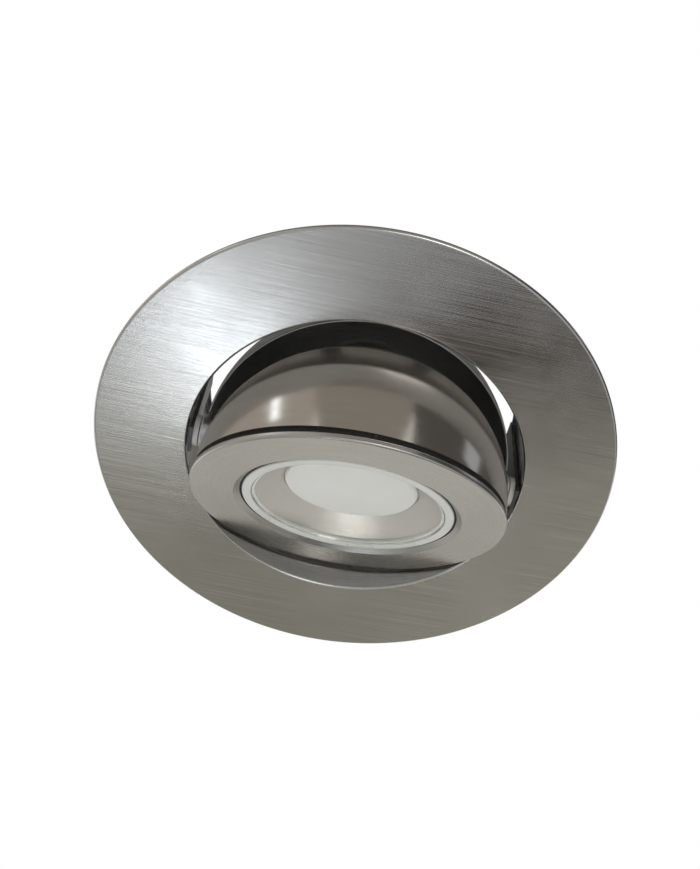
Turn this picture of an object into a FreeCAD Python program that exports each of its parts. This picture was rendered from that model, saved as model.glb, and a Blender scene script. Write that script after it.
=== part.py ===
"""Adjustable soffit downlight: a round brushed trim, a swivelling frame with a rear bowl, and a tilting head.

Millimetres. The origin is the centre of the face that meets the soffit, and +Z points up into the soffit.
The head is drawn about its tilt axis, shining along -Z, and is then turned to the angle that it rests at.
"""
import FreeCAD, Part
import math
import os
import Sketcher
from FreeCAD import Placement, Rotation, Vector

doc = FreeCAD.newDocument("SoffitDownlight")

# ---------------------------------------------------------------- driving sizes
SIZES = {
    # trim: flange, hole and collar
    "trim_radius": 95.0,
    "hole_radius": 61.5,
    "sheet": 1.0,
    "flange_edge_drop": 1.7,
    "flange_hole_drop": 2.3,
    "collar_top": 36.0,
    "collar_lip": 2.0,
    "edge_round": 1.1,
    "hole_round": 0.8,
    "gasket_inner": 68.0,
    "gasket_outer": 92.0,
    # swivel frame, straps and bowl
    "glide_thick": 0.6,
    "running_gap": 0.3,
    "frame_inner": 60.0,
    "frame_outer": 66.0,
    "frame_plate": 1.2,
    "strap_inner": 59.4,
    "strap_width": 11.0,
    "pivot_level": 1.5,
    "bowl_radius": 56.2,
    "bowl_sheet": 0.8,
    "bowl_near_rise": 7.3,
    "bowl_mouth_slope": 35.0,
    "bowl_flat_level": 54.0,
    "pivot_notch": 8.5,
    # head
    "rest_tilt": 26.8,
    "face_reach": 20.2,
    "bezel_radius": 57.4,
    "bezel_thick": 2.2,
    "bezel_lip": 41.4,
    "bezel_bore": 39.4,
    "bezel_round": 0.7,
    "shadow_gap": 2.1,
    "gasket_recess": 1.9,
    "spigot_radius": 53.6,
    "spigot_wall": 1.4,
    "dome_radius": 57.0,
    "dome_centre_depth": 8.7,
    "dome_flange": 2.8,
    "skirt_slope": 48.2,
    "skirt_top_y": 46.7,
    "skirt_top_z": 22.5,
    "lens_radius": 38.6,
    "lens_window": 35.2,
    "lens_recess": 1.1,
    "lens_depth": 3.5,
    "glass_recess": 1.6,
    "glass_thick": 1.8,
    "diffuser_radius": 24.4,
    "diffuser_depth": 9.8,
    "board_depth": 13.6,
    "board_radius": 27.0,
    "sink_depth": 15.7,
    "sink_radius": 46.0,
    "sink_base": 4.0,
    "fin_height": 20.0,
    "fin_outer": 33.0,
    "fin_inner": 9.0,
    "fin_thick": 1.6,
    "fin_count": 16,
    # tilt pivots
    "pin_radius": 2.5,
    "pin_inner_end": 46.6,
    "boss_radius": 6.5,
    "boss_face": 56.5,
    "boss_inner_face": 50.5,
    "bush_radius": 3.6,
    "bush_bore": 2.56,
    "washer_radius": 5.5,
    # spring clips
    "clip_pin_x": 71.0,
    "clip_pin_z": 21.0,
    "clip_pin_radius": 1.5,
    "clip_cheek": 8.4,
    "arm_tip": 91.0,
    "coil_radius": 5.0,
    "coil_wire": 0.7,
    "coil_pitch": 2.2,
    "coil_turns": 2.5,
    # driver
    "case_length": 62.0,
    "case_width": 38.0,
    "case_height": 20.0,
    "case_wall": 1.5,
    "gland_level": 65.0,
    "gland_radius": 7.0,
    "gland_bore": 3.5,
    "gland_reach": 10.0,
}

sheet = doc.addObject("Spreadsheet::Sheet", "Sizes")
for row, (alias, number) in enumerate(SIZES.items(), start=1):
    sheet.set("A%d" % row, alias)
    sheet.set("B%d" % row, str(number))
    sheet.setAlias("B%d" % row, alias)
doc.recompute()


class Size:
    """A number together with the sheet expression that gives it."""

    def __init__(self, number, text):
        self.number = number
        self.text = text

    def _join(self, sign, other, result):
        return Size(result, "(%s %s %s)" % (self.text, sign, other.text))

    def __add__(self, other):
        other = size(other)
        return self._join("+", other, self.number + other.number)

    def __sub__(self, other):
        other = size(other)
        return self._join("-", other, self.number - other.number)

    def __mul__(self, other):
        other = size(other)
        return self._join("*", other, self.number * other.number)

    def __truediv__(self, other):
        other = size(other)
        return self._join("/", other, self.number / other.number)

    def __neg__(self):
        return Size(-self.number, "(0 - %s)" % self.text)

    def __radd__(self, other):
        return size(other) + self

    def __rsub__(self, other):
        return size(other) - self

    def __rmul__(self, other):
        return self * other


def size(value):
    """The value itself if it is a Size, or a Size that holds the plain number."""
    if isinstance(value, Size):
        return value
    return Size(float(value), "%.4f" % value if value >= 0 else "(0 - %.4f)" % -value)


class Sheet:
    """The sheet's cells as attributes."""

    def __getattr__(self, alias):
        return Size(float(SIZES[alias]), "Sizes." + alias)


S = Sheet()


def bind(thing, prop, value):
    """Ties one property to the sheet."""
    thing.setExpression(prop, size(value).text)


# ---------------------------------------------------------------- building blocks
def origin_plane(body, role):
    """One of the body's own three planes."""
    return [part for part in body.Origin.OriginFeatures if part.Role == role][0]


def closed_sketch(body, name, role, points, shift=None):
    """A closed outline of straight lines, each corner held by two bound distances from the origin."""
    sketch = body.newObject("Sketcher::SketchObject", name)
    sketch.AttachmentSupport = (origin_plane(body, role), [""])
    sketch.MapMode = "FlatFace"
    if shift is not None:
        sketch.AttachmentOffset = Placement(Vector(0, 0, size(shift).number), Rotation())
        bind(sketch, "AttachmentOffset.Base.z", shift)
    corners = [(size(a), size(b)) for a, b in points]
    count = len(corners)
    for index, (a, b) in enumerate(corners):
        c, d = corners[(index + 1) % count]
        line = Part.LineSegment(Vector(a.number, b.number, 0), Vector(c.number, d.number, 0))
        sketch.addGeometry(line)
    for index in range(count):
        sketch.addConstraint(Sketcher.Constraint("Coincident", index, 2, (index + 1) % count, 1))
    for index, corner in enumerate(corners):
        for kind, axis, value in (("DistanceX", -2, corner[0]), ("DistanceY", -1, corner[1])):
            if value.number == 0:
                sketch.addConstraint(Sketcher.Constraint("PointOnObject", index, 1, axis))
                continue
            number = sketch.addConstraint(Sketcher.Constraint(kind, -1, 1, index, 1, value.number))
            bind(sketch, "Constraints[%d]" % number, value)
    return sketch


def turned(name, profile):
    """A body turned about the Z axis from an outline of (radius, level) corners."""
    body = doc.addObject("PartDesign::Body", name)
    sketch = closed_sketch(body, name + "_outline", "XZ_Plane", profile)
    revolution = body.newObject("PartDesign::Revolution", name + "_turn")
    revolution.Profile = sketch
    revolution.ReferenceAxis = (sketch, ["V_Axis"])
    revolution.Angle = 360
    doc.recompute()
    return body


def bent_strip(name, outline, width, role="XZ_Plane"):
    """A body padded both ways from a side view."""
    body = doc.addObject("PartDesign::Body", name)
    sketch = closed_sketch(body, name + "_outline", role, outline)
    pad = body.newObject("PartDesign::Pad", name + "_pad")
    pad.Profile = sketch
    pad.Midplane = True
    pad.Length = size(width).number
    bind(pad, "Length", width)
    doc.recompute()
    return body


def round_rims(body, rims, radius):
    """Rounds the circular edges that lie at the given (radius, level) places."""
    base = body.Tip
    names = []
    for number, edge in enumerate(base.Shape.Edges, start=1):
        if not isinstance(edge.Curve, Part.Circle):
            continue
        for rim_radius, level in rims:
            same_radius = abs(edge.Curve.Radius - size(rim_radius).number) < 0.01
            same_level = abs(edge.Curve.Center.z - size(level).number) < 0.01
            if same_radius and same_level:
                names.append("Edge%d" % number)
    fillet = body.newObject("PartDesign::Fillet", body.Name + "_round")
    fillet.Base = (base, names)
    fillet.Radius = size(radius).number
    bind(fillet, "Radius", radius)
    doc.recompute()


def box(name, low, high):
    """A box between two corners."""
    block = doc.addObject("Part::Box", name)
    for prop, axis, a, b in zip(("Length", "Width", "Height"), "xyz", low, high):
        a, b = size(a), size(b)
        if b.number < a.number:
            a, b = b, a
        bind(block, prop, b - a)
        bind(block, "Placement.Base." + axis, a)
    return block


def rod(name, radius, start, length, axis="z"):
    """A cylinder from a start point along one axis. A negative length runs the other way."""
    cylinder = doc.addObject("Part::Cylinder", name)
    length = size(length)
    turn = {"z": Rotation(), "x": Rotation(Vector(0, 1, 0), 90), "y": Rotation(Vector(1, 0, 0), -90)}
    cylinder.Placement = Placement(Vector(), turn[axis])
    bind(cylinder, "Radius", radius)
    bind(cylinder, "Height", length if length.number > 0 else -length)
    for letter, value in zip("xyz", start):
        value = size(value)
        if letter == axis and length.number < 0:
            value = value + length
        bind(cylinder, "Placement.Base." + letter, value)
    return cylinder


def ball(name, radius, level, lowest=-90):
    """A sphere on the Z axis, or the part of it above a latitude."""
    sphere = doc.addObject("Part::Sphere", name)
    bind(sphere, "Radius", radius)
    sphere.Angle1 = lowest
    bind(sphere, "Placement.Base.z", level)
    return sphere


def sloped_block(name, level, angle, low, high):
    """A big box turned about the X axis through a level on the Z axis, between two Y and Z reaches."""
    block = doc.addObject("Part::Box", name)
    block.Length = 160
    block.Width = high[0] - low[0]
    block.Height = high[1] - low[1]
    turn = Rotation(Vector(1, 0, 0), size(angle).number)
    block.Placement = Placement(Vector(-80, low[0], low[1]), Rotation())
    holder = grouped(name + "_turned", [block])
    holder.Placement = Placement(Vector(0, 0, size(level).number), turn)
    bind(holder, "Placement.Base.z", level)
    bind(holder, "Placement.Rotation.Angle", angle)
    return holder


def fused(name, *parts):
    """One solid from touching or overlapping pieces."""
    union = doc.addObject("Part::MultiFuse", name)
    union.Shapes = list(parts)
    union.Refine = True
    return union


def cut(name, base, *tools):
    """The base with every tool taken away."""
    tool = tools[0] if len(tools) == 1 else fused(name + "_tools", *tools)
    difference = doc.addObject("Part::Cut", name)
    difference.Base = base
    difference.Tool = tool
    difference.Refine = True
    return difference


def grouped(name, parts):
    """Separate solids that share one node."""
    group = doc.addObject("Part::Compound", name)
    group.Links = list(parts)
    return group


NODES = {}


def keep(label, thing):
    """Marks a finished piece, whose label is its node and file name."""
    thing.Label = label
    NODES[label] = thing
    return thing


BOUND_TYPES = ("Part::Box", "Part::Cylinder", "Part::Sphere")


def movable(thing):
    """The piece itself, or a compound round it where its own place is bound to the sheet."""
    if thing.TypeId in BOUND_TYPES:
        return grouped(thing.Name + "_placed", [thing])
    return thing


def around_z(thing, degrees):
    """Turns a piece drawn on the +X side round the Z axis."""
    piece = movable(thing)
    piece.Placement = Placement(Vector(), Rotation(Vector(0, 0, 1), degrees))
    return piece


SIDES = (("left", -1), ("right", 1))

# ---------------------------------------------------------------- trim, fixed to the soffit
collar_outer = S.hole_radius + S.sheet
back_rise = S.flange_edge_drop - S.flange_hole_drop
trim = turned("trim", [
    (S.trim_radius, 0),
    (S.trim_radius, -S.flange_edge_drop),
    (S.hole_radius, -S.flange_hole_drop),
    (S.hole_radius, S.collar_top),
    (collar_outer + S.collar_lip, S.collar_top),
    (collar_outer + S.collar_lip, S.collar_top - S.sheet),
    (collar_outer, S.collar_top - S.sheet),
    (collar_outer, S.sheet - S.flange_hole_drop),
    (S.trim_radius - S.sheet, S.sheet - S.flange_edge_drop),
    (S.trim_radius - S.sheet, 0),
])
round_rims(trim, [(S.trim_radius, -S.flange_edge_drop)], S.edge_round)
round_rims(trim, [(S.hole_radius, -S.flange_hole_drop)], S.hole_round)
keep("trim_ring", trim)

gasket_floor = S.sheet - S.flange_hole_drop
gasket_slope = (S.flange_hole_drop - S.flange_edge_drop) / (S.trim_radius - S.sheet - collar_outer)
keep("ceiling_gasket", turned("ceiling_foam", [
    (S.gasket_inner, gasket_floor + gasket_slope * (S.gasket_inner - collar_outer)),
    (S.gasket_outer, gasket_floor + gasket_slope * (S.gasket_outer - collar_outer)),
    (S.gasket_outer, 0),
    (S.gasket_inner, 0),
]))

glide_top = S.collar_top + S.glide_thick
keep("glide_ring", turned("glide", [
    (S.hole_radius, S.collar_top),
    (collar_outer + S.collar_lip, S.collar_top),
    (collar_outer + S.collar_lip, glide_top),
    (S.hole_radius, glide_top),
]))

frame_low = glide_top + S.running_gap
frame_high = frame_low + S.frame_plate
hook_low = frame_high + S.running_gap
RETAINERS = 3
hook_reach = S.frame_outer - 1.4
retainer_rivets = []
for index in range(RETAINERS):
    turn = 30 + index * 360 / RETAINERS
    upright = S.frame_outer + S.running_gap
    clip = bent_strip("retainer_%d" % (index + 1), [
        (collar_outer, 12),
        (collar_outer + S.frame_plate, 12),
        (collar_outer + S.frame_plate, 32),
        (upright + S.frame_plate, 32),
        (upright + S.frame_plate, hook_low + S.frame_plate),
        (hook_reach, hook_low + S.frame_plate),
        (hook_reach, hook_low),
        (upright, hook_low),
        (upright, 32 + S.frame_plate),
        (collar_outer, 32 + S.frame_plate),
    ], 8)
    keep("retaining_clip_%d" % (index + 1), around_z(clip, turn))
    for level in (17, 26):
        head = rod("retainer_rivet_%d_%d" % (index, level), 1.8, (collar_outer + S.frame_plate, 0, level),
                   0.9, "x")
        retainer_rivets.append(around_z(head, turn))
keep("retainer_rivets", grouped("retainer_rivet_group", retainer_rivets))

# ---------------------------------------------------------------- spring clips on the collar
bracket_top = 32
bracket_foot = 9


def helix_point(side, angle):
    """A point of the coil, whose axis runs along Y through the clip's pin."""
    radius = SIZES["coil_radius"]
    along = SIZES["coil_pitch"] * (angle / (2 * math.pi) - SIZES["coil_turns"] / 2)
    x = SIZES["clip_pin_x"] + radius * math.cos(angle)
    return Vector(side * x, along, SIZES["clip_pin_z"] + radius * math.sin(angle))


def coil_spring(name, side):
    """A torsion spring: quarter-turn arcs through points of a helix, and a straight leg at each end."""
    quarter = math.pi / 2
    first = 0.0
    last = first + SIZES["coil_turns"] * 2 * math.pi
    edges = []
    angle = first
    while angle < last - 0.01:
        three = [helix_point(side, angle + step * quarter / 2) for step in range(3)]
        edges.append(Part.Arc(*three).toShape())
        angle += quarter
    start = edges[0].Vertexes[0].Point
    finish = edges[-1].Vertexes[-1].Point
    start_way = edges[0].tangentAt(edges[0].FirstParameter)
    finish_way = edges[-1].tangentAt(edges[-1].LastParameter)
    leg_in = start - start_way * 6.5
    leg_out = finish + finish_way * 6.5
    wire = Part.Wire([Part.makeLine(leg_in, start)] + edges + [Part.makeLine(finish, leg_out)])
    section = Part.Wire([Part.makeCircle(SIZES["coil_wire"], leg_in, start_way)])
    solid = wire.makePipeShell([section], True, False)
    spring = doc.addObject("Part::Feature", name)
    spring.Shape = solid
    gap = SIZES["coil_pitch"] - 2 * SIZES["coil_wire"]
    ratio = solid.Volume / (math.pi * SIZES["coil_wire"] ** 2 * wire.Length)
    print("%s: gap between turns %.2f mm, volume over section times length %.3f" % (name, gap, ratio))
    return spring


clip_rivets = []
for side_name, side in SIDES:
    inner = S.clip_cheek
    outer = S.clip_cheek + S.frame_plate
    base_plate = box("clip_base_" + side_name, (side * collar_outer, -outer, bracket_foot),
                     (side * (collar_outer + S.frame_plate), outer, bracket_top))
    cheeks = []
    for way in (-1, 1):
        cheeks.append(box("clip_cheek_%s_%d" % (side_name, way + 1),
                          (side * collar_outer, way * inner, bracket_foot + 4),
                          (side * (S.clip_pin_x + 4), way * outer, bracket_top - 3)))
    bracket = fused("clip_bracket_body_" + side_name, base_plate, *cheeks)
    pin_hole = rod("clip_hole_" + side_name, S.clip_pin_radius, (side * S.clip_pin_x, -outer - 1, S.clip_pin_z),
                   outer * 2 + 2, "y")
    keep("clip_bracket_" + side_name, cut("clip_bracket_cut_" + side_name, bracket, pin_hole))
    shank = rod("clip_shank_" + side_name, S.clip_pin_radius,
                (side * S.clip_pin_x, -outer - 0.8, S.clip_pin_z), outer * 2 + 1.6, "y")
    heads = []
    for way in (-1, 1):
        start = way * outer
        heads.append(rod("clip_pin_head_%s_%d" % (side_name, way + 1), S.clip_pin_radius + 1,
                         (side * S.clip_pin_x, start, S.clip_pin_z), way * 0.8, "y"))
    keep("clip_pin_" + side_name, fused("clip_pin_body_" + side_name, shank, *heads))
    keep("clip_spring_" + side_name, coil_spring("clip_coil_" + side_name, side))
    for level in (12, 29):
        clip_rivets.append(rod("clip_rivet_%s_%d" % (side_name, level), 1.6,
                               (side * (collar_outer + S.frame_plate), 0, level), side * 0.8, "x"))
keep("clip_rivets", grouped("clip_rivet_group", clip_rivets))

# swinging arms: a plate with a slot for the coil, carried on two knuckles
arm_width = S.clip_cheek - 0.5
arm_plate = 1.4
for side_name, side in SIDES:
    plate = box("arm_plate_" + side_name, (side * (S.clip_pin_x + 2.6), -arm_width, S.clip_pin_z - arm_plate),
                (side * S.arm_tip, arm_width, S.clip_pin_z))
    toe = box("arm_toe_" + side_name, (side * (S.arm_tip - arm_plate), -arm_width, S.clip_pin_z - 5),
              (side * S.arm_tip, arm_width, S.clip_pin_z))
    slot = box("arm_slot_" + side_name, (side * S.clip_pin_x, -4.6, S.clip_pin_z - 6),
               (side * (S.clip_pin_x + 9.5), 4.6, S.clip_pin_z + 6))
    knuckles = []
    for way in (-1, 1):
        knuckles.append(rod("arm_knuckle_%s_%d" % (side_name, way + 1), 3.0,
                            (side * S.clip_pin_x, way * 5.2, S.clip_pin_z), way * (arm_width - 5.2), "y"))
    hole = rod("arm_hole_" + side_name, S.clip_pin_radius + 0.06,
               (side * S.clip_pin_x, -arm_width - 1, S.clip_pin_z), arm_width * 2 + 2, "y")
    arm = cut("arm_cut_" + side_name, fused("arm_body_" + side_name, plate, toe, *knuckles), slot, hole)
    keep("clip_arm_" + side_name, arm)
    foot = box("arm_foot_" + side_name, (side * (S.arm_tip - 4.4), -arm_width, S.clip_pin_z - 8),
               (side * (S.arm_tip + 1), arm_width, S.clip_pin_z - 3))
    pocket = box("arm_pocket_" + side_name, (side * (S.arm_tip - arm_plate), -arm_width - 1, S.clip_pin_z - 5),
                 (side * S.arm_tip, arm_width + 1, S.clip_pin_z - 2))
    keep("clip_foot_" + side_name, cut("arm_foot_cut_" + side_name, foot, pocket))

# ---------------------------------------------------------------- swivel frame, straps and rear bowl
ring = cut("frame_annulus", rod("frame_disc", S.frame_outer, (0, 0, frame_low), S.frame_plate),
           rod("frame_hole", S.frame_inner, (0, 0, frame_low - 1), S.frame_plate + 2))
SPOKES = (65, 115, 245, 295)
spokes = []
for degrees in SPOKES:
    spoke = box("spoke_%d" % degrees, (40, -5, frame_low), (S.frame_inner + 1, 5, frame_high))
    spokes.append(around_z(spoke, degrees))
frame_blank = fused("frame_blank", ring, *spokes)
strap_outer = S.strap_inner + S.frame_plate
strap_notches = []
for side_name, side in SIDES:
    strap_notches.append(box("strap_notch_" + side_name,
                             (side * (S.strap_inner - 1), S.strap_width * -0.5 - 0.1, frame_low - 1),
                             (side * (strap_outer + 0.05), S.strap_width * 0.5 + 0.1, frame_high + 1)))
keep("swivel_frame", cut("frame_cut", frame_blank, ball("frame_bowl_room", S.bowl_radius, S.pivot_level),
                         *strap_notches))

strap_rivets = []
tab_end = S.frame_outer - 2.0
tab_top = frame_high + 1.0
for side_name, side in SIDES:
    strap = bent_strip("strap_" + side_name, [
        (side * S.strap_inner, S.pivot_level - 6),
        (side * strap_outer, S.pivot_level - 6),
        (side * strap_outer, frame_high),
        (side * tab_end, frame_high),
        (side * tab_end, tab_top),
        (side * S.strap_inner, tab_top),
    ], S.strap_width)
    strap_hole = rod("strap_hole_" + side_name, S.pin_radius,
                     (side * (S.strap_inner - 1), 0, S.pivot_level), side * (S.frame_plate + 2), "x")
    keep("pivot_strap_" + side_name, cut("strap_cut_" + side_name, strap, strap_hole))
    for way in (-1, 1):
        strap_rivets.append(rod("strap_rivet_%s_%d" % (side_name, way + 1), 1.3,
                                (side * (S.frame_inner + 2.2), way * 3.4, tab_top), 0.8))
keep("strap_rivets", grouped("strap_rivet_group", strap_rivets))

bowl_top = S.bowl_flat_level
bowl_shell = cut("bowl_shell", ball("bowl_outside", S.bowl_radius, S.pivot_level),
                 ball("bowl_inside", S.bowl_radius - S.bowl_sheet, S.pivot_level))
near_cut = sloped_block("bowl_near_cut", S.pivot_level, -S.bowl_near_rise, (-120, -80), (0, 0))
far_cut = sloped_block("bowl_far_cut", S.pivot_level + 1, S.bowl_mouth_slope, (-40, -80), (120, 0))
crown_cut = box("bowl_crown_cut", (-80, -80, bowl_top - S.sheet), (80, 80, 80))
notches = rod("bowl_pivot_notch", S.pivot_notch, (-80, 0, S.pivot_level), 160, "x")
bowl_wall = cut("bowl_wall", bowl_shell, near_cut, far_cut, crown_cut, notches)
flat_radius = 20.6
flat = rod("bowl_flat", flat_radius, (0, 0, bowl_top - S.sheet), S.sheet)
wire_hole = rod("bowl_wire_hole", 6, (0, 0, bowl_top - 5), 10)
keep("rear_bowl", cut("bowl_cut", fused("bowl_body", bowl_wall, flat), wire_hole))

keep("bowl_grommet", turned("bowl_bush", [
    (4, bowl_top - S.sheet - 0.8),
    (7.4, bowl_top - S.sheet - 0.8),
    (7.4, bowl_top - S.sheet),
    (6, bowl_top - S.sheet),
    (6, bowl_top + S.case_wall),
    (7.4, bowl_top + S.case_wall),
    (7.4, bowl_top + S.case_wall + 0.8),
    (4, bowl_top + S.case_wall + 0.8),
]))

# ---------------------------------------------------------------- driver on the bowl
half_length = S.case_length / 2
half_width = S.case_width / 2
case_top = bowl_top + S.case_height
case_block = box("case_block", (-half_length, -half_width, bowl_top), (half_length, half_width, case_top))
case_room = box("case_room", (S.case_wall - half_length, S.case_wall - half_width, bowl_top + S.case_wall),
                (half_length - S.case_wall, half_width - S.case_wall, case_top + 1))
board_low = bowl_top + 6.5
BOARD_POSTS = [(x, y) for x in (-23, 23) for y in (-13, 9)]
CORNER_POSTS = [(x, y) for x in (-27.4, 27.4) for y in (-15.4, 15.4)]
posts = []
for index, (x, y) in enumerate(BOARD_POSTS):
    posts.append(rod("board_post_%d" % index, 2.4, (x, y, bowl_top), board_low - bowl_top))
for index, (x, y) in enumerate(CORNER_POSTS):
    posts.append(rod("corner_post_%d" % index, 2.4, (x, y, bowl_top), S.case_height - 1.6))
case_hole = rod("case_wire_hole", 6, (0, 0, bowl_top - 1), S.case_wall + 2)
gland_hole = rod("case_gland_hole", 5.5, (0, half_width - S.case_wall - 1, S.gland_level), 4, "y")
case_shell = cut("case_shell", case_block, case_room, case_hole, gland_hole)
keep("driver_case", fused("case_body", case_shell, *posts))

lid_plate = box("lid_plate", (-half_length, -half_width, case_top),
                (half_length, half_width, case_top + S.case_wall))
lid_rib_inside = S.case_wall + 0.2
lid_rib = box("lid_rib", (lid_rib_inside - half_length, lid_rib_inside - half_width, case_top - 1.6),
              (half_length - lid_rib_inside, half_width - lid_rib_inside, case_top))
lid_room = box("lid_room", (4 - half_length, 4 - half_width, case_top - 2),
               (half_length - 4, half_width - 4, case_top))
keep("driver_lid", cut("lid_cut", fused("lid_body", lid_plate, lid_rib), lid_room))

corner_room = [rod("board_corner_%d" % index, 3.4, (x, y, board_low - 1), 4)
               for index, (x, y) in enumerate(CORNER_POSTS)]
board_plate = box("board_plate", (-28.8, -16.2, board_low), (28.8, 12.6, board_low + 1.6))
pieces = [cut("board_plate_cut", board_plate, *corner_room)]
BOARD_BLOCKS = ((-20, -11, 13, 12, 8), (0, 2, 9, 8, 6), (10, -10, 9, 8, 5), (-4, -12, 6, 6, 4))
for x, y, long, wide, tall in BOARD_BLOCKS:
    pieces.append(box("board_block_%d" % (x + 40), (x, y, board_low + 1.6),
                      (x + long, y + wide, board_low + 1.6 + tall)))
for x, y in ((15, 6), (-14, 6)):
    pieces.append(rod("board_can_%d" % (x + 40), 3.5, (x, y, board_low + 1.6), 9))
keep("driver_board", fused("board_body", *pieces))

board_screws = []
for index, (x, y) in enumerate(BOARD_POSTS):
    board_screws.append(rod("board_screw_%d" % index, 2.2, (x, y, board_low + 1.6), 1.4))
keep("board_screws", grouped("board_screw_group", board_screws))

lid_screws = []
for index, (x, y) in enumerate(CORNER_POSTS):
    lid_screws.append(rod("lid_screw_%d" % index, 2.4, (x, y, case_top + S.case_wall), 1.2))
keep("lid_screws", grouped("lid_screw_group", lid_screws))

gland_start = half_width - S.case_wall - 3.5
gland_tube = rod("gland_tube", 5.5, (0, gland_start, S.gland_level), S.case_wall + 3.5, "y")
gland_nose = rod("gland_nose", S.gland_radius, (0, half_width, S.gland_level), S.gland_reach, "y")
gland_bore = rod("gland_hole", S.gland_bore, (0, gland_start - 1, S.gland_level), S.gland_reach + 8, "y")
keep("cable_gland", cut("gland_cut", fused("gland_body", gland_tube, gland_nose), gland_bore))
nut = doc.addObject("Part::Prism", "gland_nut_blank")
nut.Polygon = 6
nut.Circumradius = 8
nut.Height = 3
nut.Placement = Placement(Vector(0, (half_width - S.case_wall).number, SIZES["gland_level"]),
                          Rotation(Vector(1, 0, 0), 90))
bind(nut, "Placement.Base.y", half_width - S.case_wall)
bind(nut, "Placement.Base.z", S.gland_level)
nut_hole = rod("gland_nut_hole", 5.5, (0, half_width - S.case_wall - 5, S.gland_level), 8, "y")
keep("gland_nut", cut("gland_nut_cut", nut, nut_hole))

# ---------------------------------------------------------------- tilt pivots that stay with the frame
for side_name, side in SIDES:
    clip_outer = S.pin_inner_end + 1.6
    shaft = rod("pin_shaft_" + side_name, S.pin_radius, (side * S.pin_inner_end, 0, S.pivot_level),
                side * (strap_outer - S.pin_inner_end), "x")
    groove = cut("pin_groove_" + side_name,
                 rod("pin_groove_disc_" + side_name, S.pin_radius + 1,
                     (side * (S.pin_inner_end + 0.8), 0, S.pivot_level), side * 0.8, "x"),
                 rod("pin_groove_core_" + side_name, S.pin_radius - 0.5,
                     (side * S.pin_inner_end, 0, S.pivot_level), side * 3, "x"))
    keep("pivot_pin_" + side_name, cut("pin_cut_" + side_name, shaft, groove))
    clip_disc = rod("circlip_disc_" + side_name, S.pin_radius + 1.8,
                    (side * (S.pin_inner_end + 0.85), 0, S.pivot_level), side * 0.7, "x")
    clip_bore = rod("circlip_bore_" + side_name, S.pin_radius - 0.5,
                    (side * S.pin_inner_end, 0, S.pivot_level), side * 3, "x")
    clip_gate = box("circlip_gate_" + side_name, (side * S.pin_inner_end, -1.6, S.pivot_level),
                    (side * (S.pin_inner_end + 3), 1.6, S.pivot_level + 6))
    keep("pivot_circlip_" + side_name, cut("circlip_cut_" + side_name, clip_disc, clip_bore, clip_gate))
    washer_disc = rod("washer_disc_" + side_name, S.washer_radius,
                      (side * (S.boss_face + 1.1), 0, S.pivot_level),
                      side * (S.strap_inner - S.boss_face - 1.1), "x")
    washer_bore = rod("washer_bore_" + side_name, S.pin_radius,
                      (side * S.boss_face, 0, S.pivot_level), side * 5, "x")
    keep("friction_washer_" + side_name, cut("washer_cut_" + side_name, washer_disc, washer_bore))


# ---------------------------------------------------------------- head, drawn about its tilt axis
def depth(value):
    """A level in the head's frame, given by its depth behind the bezel's face."""
    return size(value) - S.face_reach


REST = Placement(Vector(0, 0, SIZES["pivot_level"]), Rotation(Vector(1, 0, 0), SIZES["rest_tilt"]))


def keep_head(label, thing):
    """Turns a finished piece of the head to its resting tilt and marks it."""
    piece = movable(thing)
    piece.Placement = REST
    bind(piece, "Placement.Base.z", S.pivot_level)
    bind(piece, "Placement.Rotation.Angle", S.rest_tilt)
    return keep(label, piece)


face = depth(0)
bezel_back = depth(S.bezel_thick)
dome_base = depth(S.bezel_thick + S.shadow_gap)
spigot_end = depth(11)
bezel = turned("bezel", [
    (S.bezel_lip, face),
    (S.bezel_radius, face),
    (S.bezel_radius, bezel_back),
    (S.spigot_radius, bezel_back),
    (S.spigot_radius, spigot_end),
    (S.spigot_radius - S.spigot_wall, spigot_end),
    (S.spigot_radius - S.spigot_wall, bezel_back),
    (S.bezel_bore, bezel_back),
    (S.bezel_bore, depth(1.6)),
])
round_rims(bezel, [(S.bezel_radius, face), (S.bezel_radius, bezel_back)], S.bezel_round)
keep_head("front_bezel", bezel)

gasket_outer = S.bezel_radius - S.gasket_recess
shadow_ring = turned("shadow_ring", [
    (S.spigot_radius, bezel_back),
    (gasket_outer, bezel_back),
    (gasket_outer, dome_base),
    (S.spigot_radius, dome_base),
])
key = box("shadow_key", (0.6, -(S.bezel_radius - 0.9), bezel_back), (2.0, 0.6 - gasket_outer, dome_base))
keep_head("bezel_gasket", fused("shadow_ring_keyed", shadow_ring, key))

dome_centre = depth(S.dome_centre_depth)
shell = cut("dome_halves", ball("dome_outside", S.dome_radius, dome_centre),
            ball("dome_inside", S.dome_radius - S.sheet, dome_centre))
base_cut = box("dome_base_cut", (-80, -80, -100), (80, 80, dome_base))
skirt_turn = Rotation(Vector(1, 0, 0), -SIZES["skirt_slope"])
skirt_block = doc.addObject("Part::Box", "skirt_block")
skirt_block.Length = 160
skirt_block.Width = 200
skirt_block.Height = 140
skirt_block.Placement = Placement(Vector(-80, -60, 0), Rotation())
skirt_cut = grouped("skirt_cut", [skirt_block])
skirt_cut.Placement = Placement(Vector(0, -SIZES["skirt_top_y"], SIZES["skirt_top_z"]), skirt_turn)
bind(skirt_cut, "Placement.Base.y", -S.skirt_top_y)
bind(skirt_cut, "Placement.Base.z", S.skirt_top_z)
skirt = cut("dome_skirt", shell, base_cut, skirt_cut)
flange = cut("dome_flange_ring",
             rod("dome_flange_disc", S.dome_radius - S.sheet, (0, 0, dome_base), S.sheet),
             rod("dome_flange_hole", S.dome_radius - S.dome_flange - 0.5, (0, 0, dome_base - 1), 3))
keep_head("dome_shell", fused("dome_body", skirt, flange))

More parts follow.
